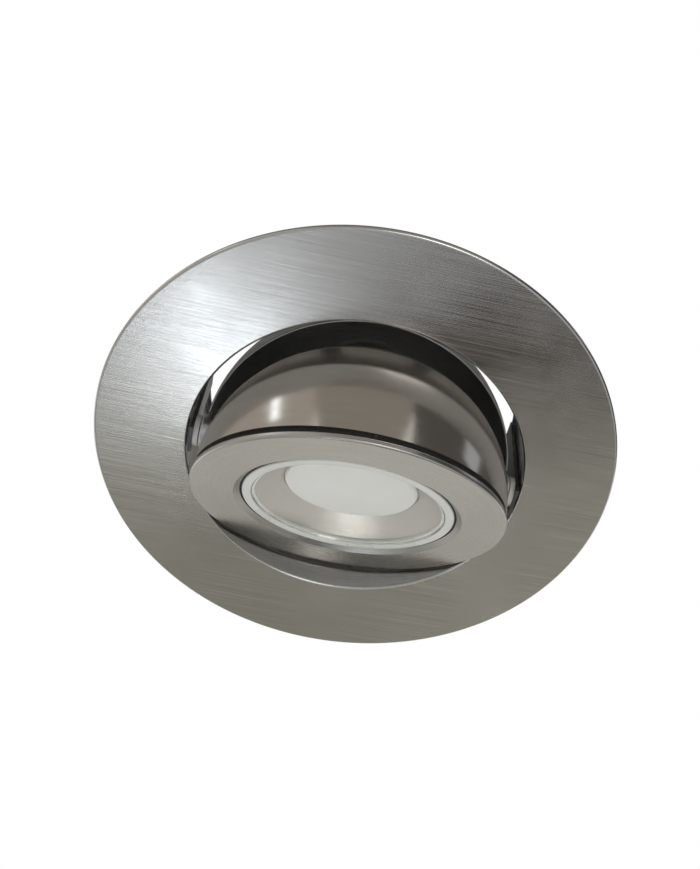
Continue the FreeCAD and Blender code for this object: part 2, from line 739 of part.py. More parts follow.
lens_front = depth(S.lens_recess)
lens_back = depth(S.lens_recess + S.lens_depth)
glass_front = depth(S.glass_recess)
glass_back = depth(S.glass_recess + S.glass_thick)
keep_head("lens_rim", turned("lens_frame", [
    (S.lens_window, lens_front),
    (S.lens_radius, lens_front),
    (S.lens_radius, lens_back),
    (S.lens_window - 1.2, lens_back),
    (S.lens_window - 1.2, glass_back),
    (S.lens_window, glass_back),
]))
keep_head("front_lens", turned("window", [
    (0, glass_front),
    (S.lens_window, glass_front),
    (S.lens_window, glass_back),
    (0, glass_back),
]))
keep_head("lens_seal", turned("seal", [
    (S.lens_radius, depth(S.lens_recess + 0.5)),
    (S.bezel_bore, depth(S.lens_recess + 0.9)),
    (S.bezel_bore, lens_back),
    (S.lens_radius, lens_back),
]))

rim_back = lens_back + 0.8
cone_end = depth(S.diffuser_depth + 1.6)
keep_head("reflector", turned("reflector_cone", [
    (S.lens_window - 1.4, lens_back),
    (S.lens_radius + 0.5, lens_back),
    (S.lens_radius + 0.5, rim_back),
    (S.lens_window - 0.2, rim_back),
    (S.diffuser_radius + 1.5, cone_end),
    (S.diffuser_radius + 0.3, cone_end),
]))
board_front = depth(S.board_depth)
diffuser_front = depth(S.diffuser_depth)
diffuser = turned("diffuser_cup", [
    (0, diffuser_front),
    (S.diffuser_radius, diffuser_front),
    (S.diffuser_radius, board_front),
    (S.diffuser_radius - 1.4, board_front),
    (S.diffuser_radius - 1.4, diffuser_front + 1.4),
    (0, diffuser_front + 1.4),
])
round_rims(diffuser, [(S.diffuser_radius, diffuser_front)], 0.9)
keep_head("diffuser", diffuser)

board_back = board_front + 1.6
keep_head("led_board", rod("led_plate", S.board_radius, (0, 0, board_front), 1.6))
chips = []
for count, radius in ((6, 9), (12, 17)):
    for index in range(count):
        angle = 2 * math.pi * index / count
        x = radius * math.cos(angle)
        y = radius * math.sin(angle)
        chips.append(box("chip_%d_%d" % (count, index), (x - 1.4, y - 1.4, board_front - 0.7),
                         (x + 1.4, y + 1.4, board_front)))
keep_head("led_chips", grouped("chip_group", chips))

sink_front = depth(S.sink_depth)
keep_head("thermal_pad", rod("pad_disc", S.board_radius - 1, (0, 0, board_back), sink_front - board_back))

sink = doc.addObject("PartDesign::Body", "sink")
base_sketch = sink.newObject("Sketcher::SketchObject", "sink_base_outline")
base_sketch.AttachmentSupport = (origin_plane(sink, "XY_Plane"), [""])
base_sketch.MapMode = "FlatFace"
base_sketch.AttachmentOffset = Placement(Vector(0, 0, sink_front.number), Rotation())
bind(base_sketch, "AttachmentOffset.Base.z", sink_front)
base_sketch.addGeometry(Part.Circle(Vector(), Vector(0, 0, 1), SIZES["sink_radius"]))
base_sketch.addConstraint(Sketcher.Constraint("Coincident", 0, 3, -1, 1))
sink_circle = base_sketch.addConstraint(Sketcher.Constraint("Radius", 0, SIZES["sink_radius"]))
bind(base_sketch, "Constraints[%d]" % sink_circle, S.sink_radius)
base_pad = sink.newObject("PartDesign::Pad", "sink_base_pad")
base_pad.Profile = base_sketch
bind(base_pad, "Length", S.sink_base)
doc.recompute()
half_fin = S.fin_thick / 2
fin_sketch = closed_sketch(sink, "fin_outline", "XY_Plane", [
    (S.fin_inner, -half_fin),
    (S.fin_outer, -half_fin),
    (S.fin_outer, half_fin),
    (S.fin_inner, half_fin),
], sink_front + S.sink_base)
fin_pad = sink.newObject("PartDesign::Pad", "fin_pad")
fin_pad.Profile = fin_sketch
bind(fin_pad, "Length", S.fin_height)
doc.recompute()
fins = sink.newObject("PartDesign::PolarPattern", "fins")
fins.Originals = [fin_pad]
fins.Axis = (base_sketch, ["N_Axis"])
fins.Angle = 360
fins.Occurrences = SIZES["fin_count"]
sink.Tip = fins
doc.recompute()
keep_head("heat_sink", sink)

sink_back = sink_front + S.sink_base
head_screws = []
arm_screws = []
for side_name, side in SIDES:
    tab_inner = S.boss_inner_face - 1.5
    strip = box("bracket_strip_" + side_name, (side * 35, -8, sink_back), (side * tab_inner, 8, sink_back + 1.5))
    tab = box("bracket_tab_" + side_name, (side * tab_inner, -8, sink_back), (side * S.boss_inner_face, 8, 6.5))
    pin_room = box("bracket_room_" + side_name, (side * 44.6, -4.6, -6), (side * tab_inner, 4.6, 6))
    boss = rod("boss_" + side_name, S.boss_radius, (side * S.boss_inner_face, 0, 0),
               side * (S.boss_face - S.boss_inner_face), "x")
    tab_hole = rod("bracket_hole_" + side_name, S.bush_radius, (side * 45, 0, 0), side * 15, "x")
    keep_head("pivot_bracket_" + side_name,
              cut("bracket_cut_" + side_name, fused("bracket_body_" + side_name, strip, tab, boss),
                  pin_room, tab_hole))
    barrel = rod("bush_barrel_" + side_name, S.bush_radius, (side * tab_inner, 0, 0),
                 side * (S.boss_face - tab_inner), "x")
    rim = rod("bush_rim_" + side_name, S.washer_radius, (side * S.boss_face, 0, 0), side * 0.7, "x")
    bore = rod("bush_bore_" + side_name, S.bush_bore, (side * 45, 0, 0), side * 15, "x")
    keep_head("pivot_bush_" + side_name, cut("bush_cut_" + side_name, fused("bush_body_" + side_name, barrel, rim),
                                             bore))
    for way in (-1, 1):
        arm_screws.append(rod("arm_screw_%s_%d" % (side_name, way + 1), 2.0,
                              (side * 39, way * 5, sink_back + 1.5), 1.3))
keep_head("bracket_screws", grouped("bracket_screw_group", arm_screws))

# three pillars join the bezel to the heat sink
PILLARS = 3
PILLAR_CIRCLE = 43
pillars = []
for index in range(PILLARS):
    angle = math.radians(30 + 360 * index / PILLARS)
    pillar = rod("pillar_%d" % index, 2.2,
                 (PILLAR_CIRCLE * math.cos(angle), PILLAR_CIRCLE * math.sin(angle), bezel_back),
                 sink_front - bezel_back)
    pillars.append(pillar)
keep_head("head_pillars", grouped("pillar_group", pillars))

# ---------------------------------------------------------------- checks and export
doc.recompute()
broken = [thing.Name for thing in doc.Objects if "Invalid" in thing.State or "Error" in thing.State]
if broken:
    raise RuntimeError("objects that failed: " + ", ".join(broken))
for label, thing in NODES.items():
    if thing.Shape.isNull() or not thing.Shape.isValid():
        raise RuntimeError("bad shape: " + label)

os.makedirs("parts", exist_ok=True)
for label, thing in NODES.items():
    thing.Shape.exportStep("parts/%s.step" % label)
print("%d parts written" % len(NODES))
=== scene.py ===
"""Dresses the soffit downlight: smooth turned metal, glass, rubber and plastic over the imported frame."""
import math

import bpy
import numpy as np
from mathutils import Matrix, Vector


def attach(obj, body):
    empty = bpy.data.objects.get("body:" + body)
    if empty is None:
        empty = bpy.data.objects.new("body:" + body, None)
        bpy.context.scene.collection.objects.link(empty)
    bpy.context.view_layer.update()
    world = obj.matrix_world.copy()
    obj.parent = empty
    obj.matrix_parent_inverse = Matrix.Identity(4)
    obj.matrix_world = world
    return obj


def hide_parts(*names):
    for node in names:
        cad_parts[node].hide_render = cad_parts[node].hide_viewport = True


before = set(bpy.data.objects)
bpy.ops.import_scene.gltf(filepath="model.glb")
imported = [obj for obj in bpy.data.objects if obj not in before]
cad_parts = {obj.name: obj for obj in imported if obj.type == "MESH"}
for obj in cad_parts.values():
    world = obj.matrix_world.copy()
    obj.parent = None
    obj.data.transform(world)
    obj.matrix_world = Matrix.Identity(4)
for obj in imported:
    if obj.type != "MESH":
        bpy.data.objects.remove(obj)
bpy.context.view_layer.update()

MM = 0.001

# ---------------------------------------------------------------- real sizes, in millimetres
TRIM_RADIUS = 95.0
HOLE_RADIUS = 61.5
FLANGE_EDGE_DROP = 1.7
FLANGE_HOLE_DROP = 2.3
TRIM_SHEET = 1.0
COLLAR_OUTER = HOLE_RADIUS + TRIM_SHEET
COLLAR_LIP = 2.0
COLLAR_TOP = 36.0
FOAM_INNER = 68.0
FOAM_OUTER = 92.0
FOAM_GAP = 0.05
PIVOT_LEVEL = 1.5
REST_TILT = math.radians(26.8)
FACE_REACH = 20.2
BEZEL_RADIUS = 57.4
BEZEL_BACK = 2.2 - FACE_REACH
SPIGOT_RADIUS = 53.6
SHADOW_RADIUS = 55.5
DOME_BASE = 4.3 - FACE_REACH
SKIRT_RADIUS = 57.0
SKIRT_SHEET = 1.0
SKIRT_CENTRE = 8.7 - FACE_REACH
SKIRT_SLOPE = math.radians(48.2)
SKIRT_TOP_Y = -46.7
SKIRT_TOP_Z = 22.5
BOWL_RADIUS = 56.2
BOWL_SHEET = 0.8
BOWL_FLAT = 54.0
BOWL_FLAT_RADIUS = 20.6
BOWL_HOLE_RADIUS = 6.0
BOWL_FAR_SLOPE = math.radians(35)
BOWL_NEAR_SLOPE = math.radians(7.3)
BOWL_FAR_LEVEL = 2.5
PIVOT_NOTCH = 8.5
CASE_HALF_LENGTH = 31.0
CASE_HALF_WIDTH = 19.0
CASE_CORNER = 5.0
FLOOR_LEVEL = -1.3  # metres
PICTURE_LONG_SIDE = 869  # pixels
SENSOR = 36  # millimetres

HEAD = Matrix.Translation((0, 0, PIVOT_LEVEL * MM)) @ Matrix.Rotation(REST_TILT, 4, "X")


# ---------------------------------------------------------------- shapes
def softened(corners, radii, steps=5):
    """A closed outline whose corners are rounded.

    Each corner c between its neighbours becomes an arc of the given radius that touches both edges, found by
    blending the two touching directions with sines. A point just outside each arc keeps the flat beside it flat
    under smooth shading.
    """
    corners = np.array(corners, float)
    before = np.roll(corners, 1, axis=0) - corners
    after = np.roll(corners, -1, axis=0) - corners
    points = []
    for corner, radius, back, on in zip(corners, radii, before, after):
        if radius <= 0:
            points.append(corner[None])
            continue
        long_back, long_on = np.linalg.norm(back), np.linalg.norm(on)
        u, v = back / long_back, on / long_on
        half = math.acos(np.clip(u @ v, -1, 1)) / 2
        reach = min(radius / math.tan(half), 0.48 * long_back, 0.48 * long_on)
        radius = reach * math.tan(half)
        centre = corner + (u + v) / np.linalg.norm(u + v) * radius / math.sin(half)
        start = corner + u * reach - centre
        stop = corner + v * reach - centre
        turn = math.acos(np.clip(start @ stop / radius ** 2, -1, 1))
        t = np.linspace(0, 1, steps + 1)[:, None]
        arc = centre + (np.sin((1 - t) * turn) * start + np.sin(t * turn) * stop) / math.sin(turn)
        beside = reach + 0.15
        if long_back > 2.5 * beside:
            points.append((corner + u * beside)[None])
        points.append(arc)
        if long_on > 2.5 * beside:
            points.append((corner + v * beside)[None])
    return np.concatenate(points)


def skinned(name, points, faces, grain, material, place=None, sharp=40.0):
    """An object at the origin from points in millimetres, index rows for its faces and a grain pair per corner."""
    used, corners = np.unique(np.concatenate([np.ravel(f) for f in faces]), return_inverse=True)
    verts = points.reshape(-1, 3)[used] * MM
    if place is not None:
        verts = verts @ np.array(place.to_3x3()).T + np.array(place.translation)
    loops, start = [], 0
    for group in faces:
        size = np.size(group)
        loops += corners[start:start + size].reshape(np.shape(group)).tolist()
        start += size
    mesh = bpy.data.meshes.new(name)
    mesh.from_pydata(verts.tolist(), [], loops)
    layer = mesh.uv_layers.new(name="grain")
    layer.data.foreach_set("uv", np.concatenate([np.ravel(g) for g in grain]))
    mesh.polygons.foreach_set("use_smooth", np.ones(len(mesh.polygons), bool))
    mesh.set_sharp_from_angle(angle=math.radians(sharp))
    mesh.update()
    mesh.materials.append(material)
    piece = bpy.data.objects.new(name, mesh)
    bpy.context.scene.collection.objects.link(piece)
    return piece


def quads(i, j, n, k, columns):
    """The four corners of each grid cell, from row i to row n and column j to column k, as point numbers."""
    numbers = np.broadcast_arrays(i * columns + j, n * columns + j, n * columns + k, i * columns + k)
    return np.stack(numbers, axis=-1)


def turned(name, outline, material, place=None, sides=256, flat=None):
    """Carries a closed outline of (radius, level) round the Z axis.

    The point (r, z) at the angle a stands at (r cos a, r sin a, z). Points on the axis are one shared pole. flat
    picks the edges of the outline whose grain runs straight across instead of round.
    """
    outline = np.asarray(outline, float)
    r, z = outline.T
    if np.sum(r * np.roll(z, -1) - np.roll(r, -1) * z) < 0:
        outline = outline[::-1]
        r, z = outline.T
    rings = len(r)
    a = np.linspace(0, 2 * math.pi, sides, endpoint=False)[:, None]
    points = np.stack([np.cos(a) * r, np.sin(a) * r, np.broadcast_to(z, (sides, rings))], axis=2)
    run = np.concatenate([[0], np.cumsum(np.linalg.norm(np.diff(outline, axis=0), axis=1))])
    pole = r < 1e-6
    i, j = np.arange(sides)[:, None], np.arange(rings)
    n, k = (i + 1) % sides, (j + 1) % rings
    keep = ~(pole & pole[k])
    number = np.arange(sides * rings).reshape(sides, rings)
    number[:, pole] = number[0, pole]
    cells = number.ravel()[quads(i, j, n, k, rings)[:, keep]]
    turn = np.stack(np.broadcast_arrays(i / sides, (i + 1) / sides, (i + 1) / sides, i / sides), axis=-1)
    along = np.stack([run[j], run[j], run[k], run[k]], axis=-1)[keep] * MM * 5
    grain = np.stack(np.broadcast_arrays(turn, along[None]), axis=-1)
    if flat is not None:
        straight = flat(outline, outline[k])[keep]
        level = points.reshape(-1, 3)[cells][..., :2] * MM * 5
        grain = np.where(straight[None, :, None, None], level, grain)
    to_pole, from_pole = pole[k][keep], pole[keep]
    faces = [cells[:, ~to_pole & ~from_pole].reshape(-1, 4), cells[:, to_pole][..., :3].reshape(-1, 3),
             cells[:, from_pole][..., [0, 2, 3]].reshape(-1, 3)]
    grains = [grain[:, ~to_pole & ~from_pole], grain[:, to_pole][..., :3, :],
              grain[:, from_pole][..., [0, 2, 3], :]]
    return skinned(name, points, faces, grains, material, place)


def looped(name, grid, material, place=None, closed=True, sharp=40.0):
    """Skins rows of closed loops of points in millimetres.

    The last row joins the first when closed; otherwise a flat cap closes the first row and the last.
    """
    rows, columns = grid.shape[:2]
    i, j = np.arange(rows if closed else rows - 1)[:, None], np.arange(columns)
    cells = quads(i, j, (i + 1) % rows, (j + 1) % columns, columns)
    across = np.stack(np.broadcast_arrays(i, i + 1, i + 1, i), axis=-1) / rows
    along = np.stack([j, j, j + 1, j + 1], axis=-1)[None] / columns
    faces = [cells.reshape(-1, 4)]
    grain = [np.stack(np.broadcast_arrays(across, along), axis=-1)]
    if not closed:
        faces.append(np.stack([j, (rows - 1) * columns + j[::-1]]))
        grain.append(grid[[0, -1], :, :2] * MM)
    return skinned(name, grid, faces, grain, material, place, sharp)


def boxed(name, half_x, half_y, corner, levels, material, place=None):
    """A stack of rounded rectangles, one for each (inset, level), closed by flat ends.

    A corner's arc at the angle a stands at the corner's centre plus its radius times (cos a, sin a), and the
    inset takes that radius down, and past it the centre too.
    """
    quarter, step = np.divmod(np.arange(36), 9)
    a = math.pi / 2 * (quarter + step / 8)
    side_x = np.where((quarter == 0) | (quarter == 3), 1, -1)
    side_y = np.where(quarter < 2, 1, -1)
    inset, z = np.array(levels, float)[::-1].T[..., None]
    reach = np.maximum(corner - inset, 0.05)
    shrink = np.minimum(0, corner - inset - 0.05)
    x = side_x * (half_x - corner + shrink) + np.cos(a) * reach
    y = side_y * (half_y - corner + shrink) + np.sin(a) * reach
    grid = np.stack([x, y, np.broadcast_to(z, x.shape)], axis=2)
    return looped(name, grid, material, place, closed=False, sharp=30.0)


# ---------------------------------------------------------------- materials
class Nodes:
    """A small helper that adds and joins nodes of one material."""

    def __init__(self, name):
        self.material = bpy.data.materials.new(name)
        self.material.use_nodes = True
        self.tree = self.material.node_tree
        self.shader = self.tree.nodes["Principled BSDF"]

    def add(self, kind, settings=None, **inputs):
        """One node, with its settings and its inputs by name; an input may be a value or a socket."""
        node = self.tree.nodes.new(kind)
        for key, value in (settings or {}).items():
            setattr(node, key, value)
        for key, value in inputs.items():
            self.feed(node, key.replace("_", " "), value)
        return node

    def feed(self, node, key, value):
        """Sets a socket's value or links another socket to it."""
        socket = node.inputs[int(key[1:])] if key[0] == "i" and key[1:].isdigit() else node.inputs[key]
        if isinstance(value, bpy.types.NodeSocket):
            self.tree.links.new(value, socket)
        else:
            socket.default_value = value

    def set(self, key, value):
        """One input of the shader."""
        self.feed(self.shader, key, value)

    def place(self, head=False):
        """The object's own coordinates, or the same in the tilted head's axes."""
        coordinates = self.add("ShaderNodeTexCoord").outputs["Object"]
        if not head:
            return coordinates
        node = self.add("ShaderNodeMapping", {"vector_type": "TEXTURE"}, Vector=coordinates,
                        Location=(0, 0, PIVOT_LEVEL * MM), Rotation=(REST_TILT, 0, 0))
        return node.outputs["Vector"]

    def stretched(self, where, scale):
        """Coordinates scaled by three numbers."""
        return self.add("ShaderNodeMapping", Vector=where, Scale=scale).outputs["Vector"]

    def ringed(self, where, fine, slow):
        """Coordinates that run fast across a turned surface and slowly round it, with the radius as W."""
        split = self.add("ShaderNodeSeparateXYZ", Vector=where)
        flat = self.add("ShaderNodeCombineXYZ", X=split.outputs["X"], Y=split.outputs["Y"])
        radius = self.add("ShaderNodeVectorMath", {"operation": "LENGTH"}, i0=flat.outputs["Vector"])
        unit = self.add("ShaderNodeVectorMath", {"operation": "NORMALIZE"}, i0=flat.outputs["Vector"])
        round_it = self.stretched(unit.outputs["Vector"], (slow, slow, 0))
        tall = self.stretched(where, (0, 0, fine))
        both = self.add("ShaderNodeVectorMath", {"operation": "ADD"}, i0=round_it, i1=tall)
        far = self.add("ShaderNodeMath", {"operation": "MULTIPLY"}, i0=radius.outputs["Value"], i1=fine)
        return both.outputs["Vector"], far.outputs["Value"]

    def noise(self, where, scale, detail=2.0, w=None):
        """A noise value from 0 to 1."""
        settings = {"noise_dimensions": "4D" if w is not None else "3D"}
        inputs = {"Vector": where, "Scale": scale, "Detail": detail}
        if w is not None:
            inputs["W"] = w
        return self.add("ShaderNodeTexNoise", settings, **inputs).outputs["Fac"]

    def spread(self, value, low, high):
        """A value from around 0.3 to 0.7 spread to a range."""
        node = self.add("ShaderNodeMapRange", Value=value)
        node.inputs["From Min"].default_value = 0.3
        node.inputs["From Max"].default_value = 0.7
        node.inputs["To Min"].default_value = low
        node.inputs["To Max"].default_value = high
        return node.outputs["Result"]

    def tint(self, value, dark, light):
        """A colour between two, by a value."""
        node = self.add("ShaderNodeMix", {"data_type": "RGBA"})
        self.feed(node, "i0", value)
        node.inputs[6].default_value = (*dark, 1)
        node.inputs[7].default_value = (*light, 1)
        return node.outputs[2]

    def bump(self, height, distance):
        """A bump whose full height is a distance in metres."""
        node = self.add("ShaderNodeBump", Height=height, Distance=distance, Strength=1.0)
        return node.outputs["Normal"]


def metal(name, dark, light, rough, grain="ring", head=False, anisotropic=0.6, fine=3500.0, slow=3.0,
          lines=0.00002, metallic=1.0, smudge=0.05):
    """Metal with straight or turned grain, faint smudges and a stretched highlight along the grain."""
    m = Nodes(name)
    where = m.place(head)
    if grain == "brushed":
        brushed = m.add("ShaderNodeUVMap", {"uv_map": "grain"}).outputs["UV"]
        streak = m.noise(m.stretched(brushed, (slow * 1.6, fine * 0.2, 0)), 1.0, 3.0)
    elif grain == "ring":
        vector, far = m.ringed(where, fine, slow)
        streak = m.noise(vector, 1.0, 3.0, far)
    else:
        streak = m.noise(where, fine, 3.0)
    cloud = m.noise(where, 26.0, 3.0)
    m.set("Base Color", m.tint(m.spread(streak, 0.0, 1.0), dark, light))
    mixed = m.add("ShaderNodeMath", {"operation": "ADD"}, i0=m.spread(streak, rough * 0.86, rough * 1.14),
                  i1=m.spread(cloud, -smudge, smudge))
    m.set("Roughness", mixed.outputs["Value"])
    m.set("Metallic", metallic)
    if lines:
        m.set("Normal", m.bump(streak, lines))
    if anisotropic:
        tangent = m.add("ShaderNodeTangent", {"direction_type": "UV_MAP", "uv_map": "grain"})
        m.set("Anisotropic", anisotropic)
        m.set("Tangent", tangent.outputs["Tangent"])
    return m.material


def plastic(name, dark, light, rough, grain=900.0, bump=0.00003, head=False):
    """Moulded plastic, rubber or foam: a fine matt texture with a slow change of shade."""
    m = Nodes(name)
    where = m.place(head)
    slow = m.noise(where, 40.0, 3.0)
    fine = m.noise(where, grain, 2.0)
    m.set("Base Color", m.tint(m.spread(slow, 0.0, 1.0), dark, light))
    m.set("Roughness", m.spread(fine, rough - 0.07, rough + 0.07))
    m.set("Normal", m.bump(fine, bump))
    return m.material


trim_metal = metal("brushed trim metal", (0.52, 0.51, 0.49), (0.70, 0.69, 0.67), 0.21, "brushed", anisotropic=0.5,
                   fine=4500.0, slow=2.0, lines=0.00002)
bezel_metal = metal("satin bezel metal", (0.50, 0.49, 0.46), (0.60, 0.59, 0.56), 0.30, "ring", True, 0.5)
dome_metal = metal("polished dome metal", (0.50, 0.46, 0.41), (0.54, 0.50, 0.45), 0.17, "ring", True, 0.3,
                   fine=300.0, lines=0, metallic=0.9, smudge=0.04)
bowl_metal = metal("spun bowl metal", (0.56, 0.56, 0.54), (0.65, 0.65, 0.63), 0.34, "ring", False, 0.5,
                   metallic=0.9)
plate_metal = metal("zinc plated sheet", (0.55, 0.56, 0.57), (0.68, 0.69, 0.70), 0.36, "cloud", anisotropic=0,
                    fine=120.0, lines=0.00001)
# the pivot straps are zinc plated like the sheet parts; their colour is darkened here as painted shade, for the
# shadow they sit in
strap_zinc_painted_shade = metal("zinc strap darkened by painted shade", (0.10, 0.10, 0.10), (0.17, 0.17, 0.17), 0.45, "cloud", anisotropic=0,
                    fine=300.0, lines=0.00001)
wire_metal = metal("spring wire", (0.42, 0.43, 0.44), (0.52, 0.53, 0.54), 0.30, "cloud", anisotropic=0,
                   fine=500.0, lines=0.00001)
rivet_metal = metal("rivet heads", (0.36, 0.36, 0.36), (0.50, 0.50, 0.50), 0.38, "cloud", anisotropic=0,
                    fine=400.0, lines=0.00001)
reflector_metal = metal("satin reflector metal", (0.56, 0.53, 0.48), (0.63, 0.60, 0.55), 0.46, "ring", True, 0.2,
                        lines=0.00001, metallic=0.7)
sink_metal = metal("cast heat sink metal", (0.50, 0.50, 0.50), (0.62, 0.62, 0.62), 0.50, "cloud", anisotropic=0,
                   fine=700.0, lines=0.00004)
black_rubber = plastic("black rubber", (0.012, 0.012, 0.012), (0.026, 0.026, 0.026), 0.62)
foam = plastic("soffit gasket foam", (0.10, 0.10, 0.10), (0.17, 0.17, 0.17), 0.90, 1400.0, 0.00012)
nylon = plastic("white nylon", (0.70, 0.69, 0.65), (0.80, 0.79, 0.76), 0.45)
case_plastic = plastic("driver case plastic", (0.68, 0.68, 0.66), (0.76, 0.76, 0.74), 0.50, 1600.0, 0.00005)
gland_plastic = plastic("grey gland plastic", (0.20, 0.21, 0.22), (0.26, 0.27, 0.28), 0.45)
board_mask = plastic("green board", (0.02, 0.12, 0.05), (0.03, 0.17, 0.07), 0.38)
led_mask = plastic("white LED board", (0.78, 0.78, 0.76), (0.84, 0.84, 0.82), 0.40)
phosphor = plastic("phosphor", (0.78, 0.62, 0.14), (0.86, 0.72, 0.22), 0.50)
pad_rubber = plastic("grey heat pad", (0.26, 0.27, 0.28), (0.33, 0.34, 0.35), 0.80)
opal = plastic("opal diffuser", (0.80, 0.80, 0.77), (0.86, 0.86, 0.84), 0.42, 500.0, 0.00001, head=True)


def frosted_acrylic():
    """Pale translucent ring, slightly cloudy."""
    m = Nodes("frosted lens rim")
    where = m.place(True)
    cloud = m.noise(where, 60.0, 3.0)
    m.set("Base Color", m.tint(m.spread(cloud, 0.0, 1.0), (0.72, 0.72, 0.67), (0.80, 0.80, 0.75)))
    m.set("Roughness", m.spread(cloud, 0.24, 0.34))
    m.set("Coat Weight", 0.3)
    return m.material


def window_glass():
    """Clear glass with the faintest ripple."""
    m = Nodes("front glass")
    where = m.place(True)
    ripple = m.noise(where, 30.0, 1.0)
    m.set("Base Color", m.tint(m.spread(ripple, 0.0, 1.0), (0.95, 0.96, 0.95), (0.97, 0.97, 0.97)))
    m.set("Roughness", m.spread(ripple, 0.0, 0.03))
    m.set("Transmission Weight", 1.0)
    m.set("IOR", 1.49)
    return m.material


lens_rim_plastic = frosted_acrylic()
glass = window_glass()


# ---------------------------------------------------------------- the trim
def is_flange_face(a, b):
    """The edges of the flange's front and back, where the brushing runs straight across."""
    return (np.abs(b[:, 1] - a[:, 1]) < 0.3 * np.abs(b[:, 0] - a[:, 0])) & (a[:, 1] < 2)


trim_outline = softened(
    [(TRIM_RADIUS, 0), (TRIM_RADIUS, -FLANGE_EDGE_DROP), (HOLE_RADIUS, -FLANGE_HOLE_DROP),
     (HOLE_RADIUS, COLLAR_TOP),
     (COLLAR_OUTER + COLLAR_LIP, COLLAR_TOP), (COLLAR_OUTER + COLLAR_LIP, COLLAR_TOP - TRIM_SHEET),
     (COLLAR_OUTER, COLLAR_TOP - TRIM_SHEET), (COLLAR_OUTER, TRIM_SHEET - FLANGE_HOLE_DROP),
     (TRIM_RADIUS - TRIM_SHEET, TRIM_SHEET - FLANGE_EDGE_DROP), (TRIM_RADIUS - TRIM_SHEET, 0)],
    [0.3, 1.1, 0.8, 0.35, 0.35, 0.35, 0.5, 0.4, 0.3, 0.3])
trim = turned("trim_plate", trim_outline, trim_metal, sides=360, flat=is_flange_face)
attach(trim, "trim")
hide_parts("trim_ring")


def foam_floor(radius):
    """Level of the foam's lower face: the straight slope of the flange's back at that radius, plus a small gap."""
    share = (radius - COLLAR_OUTER) / (TRIM_RADIUS - TRIM_SHEET - COLLAR_OUTER)
    return TRIM_SHEET - FLANGE_HOLE_DROP + (FLANGE_HOLE_DROP - FLANGE_EDGE_DROP) * share + FOAM_GAP


gasket = turned("soffit_gasket",
                softened([(FOAM_INNER, foam_floor(FOAM_INNER)), (FOAM_OUTER, foam_floor(FOAM_OUTER)),
                          (FOAM_OUTER, 0), (FOAM_INNER, 0)], [0.2, 0.2, 0.3, 0.3]), foam)
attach(gasket, "trim")
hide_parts("ceiling_gasket")


# ---------------------------------------------------------------- the rear bowl
def bowl_grid(sides=288, down=40):
    """A spherical bowl about the tilt axis, with a flat crown and a lip cut by two sloping planes.

    The point at the turn phi and the angle alpha from the crown stands at R (sin alpha cos phi, sin alpha sin phi,
    cos alpha) from the pivot. Each meridian runs from the wire hole out over the flat, down the sphere to where
    the cut meets it, found by halving, round the lip and back up the inside.
    """
    far_slope = math.tan(BOWL_FAR_SLOPE)
    near_slope = math.tan(BOWL_NEAR_SLOPE)
    phi = np.linspace(0, 2 * math.pi, sides, endpoint=False)
    start = math.asin(BOWL_FLAT_RADIUS / BOWL_RADIUS)
    low, high = np.full(sides, start), np.full(sides, math.pi * 0.6)
    for halving in range(30):
        alpha = (low + high) / 2
        x = BOWL_RADIUS * np.sin(alpha) * np.cos(phi)
        y = BOWL_RADIUS * np.sin(alpha) * np.sin(phi)
        z = PIVOT_LEVEL + BOWL_RADIUS * np.cos(alpha)
        notch = (y * y + (z - PIVOT_LEVEL) ** 2 > PIVOT_NOTCH ** 2) | (np.abs(x) < 30)
        inside = (z > PIVOT_LEVEL - y * near_slope) & (z > BOWL_FAR_LEVEL + y * far_slope) & notch
        low, high = np.where(inside, alpha, low), np.where(inside, high, alpha)
    outer, inner = BOWL_RADIUS, BOWL_RADIUS - BOWL_SHEET
    half = BOWL_SHEET / 2
    lip = half / BOWL_RADIUS
    end = low[:, None]
    t = np.linspace(0, 1, down)
    alpha = start + 0.012 + t * (end - lip - start - 0.012)
    turn = np.linspace(0, math.pi, 7)[1:-1]
    rim = outer - half + half * np.cos(turn)
    angle = end - lip + lip * np.sin(turn)
    flat = np.ones((sides, 1))
    r = np.concatenate([flat * [BOWL_HOLE_RADIUS, 19.6], outer * np.sin(alpha), rim * np.sin(angle),
                        inner * np.sin(alpha[:, ::-1]), flat * [19.2, BOWL_HOLE_RADIUS]], axis=1)
    z = np.concatenate([flat * [BOWL_FLAT, BOWL_FLAT], PIVOT_LEVEL + outer * np.cos(alpha),
                        PIVOT_LEVEL + rim * np.cos(angle), PIVOT_LEVEL + inner * np.cos(alpha[:, ::-1]),
                        flat * [BOWL_FLAT - 1, BOWL_FLAT - 1]], axis=1)
    return np.stack([r * np.cos(phi)[:, None], r * np.sin(phi)[:, None], z], axis=2)[:, ::-1]


bowl = looped("bowl_spinning", bowl_grid(), bowl_metal)
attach(bowl, "swivel")
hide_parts("rear_bowl")


# ---------------------------------------------------------------- the head
def behind(value):
    """A level in the head's own axes from a depth behind the bezel's face."""
    return value - FACE_REACH


def head_piece(name, corners, radii, material, node, sides=256):
    """A turned piece that tilts with the head."""
    piece = turned(name, softened(corners, radii), material, HEAD, sides)
    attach(piece, "head")
    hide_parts(node)
    return piece


head_piece("bezel_plate",
           [(41.4, behind(0)), (BEZEL_RADIUS, behind(0)), (BEZEL_RADIUS, BEZEL_BACK), (SPIGOT_RADIUS, BEZEL_BACK),
            (SPIGOT_RADIUS, behind(11)), (52.2, behind(11)), (52.2, BEZEL_BACK), (39.4, BEZEL_BACK),
            (39.4, behind(1.6))],
           [0.35, 0.8, 0.6, 0.2, 0.3, 0.3, 0.3, 0.2, 0.25], bezel_metal, "front_bezel", 320)

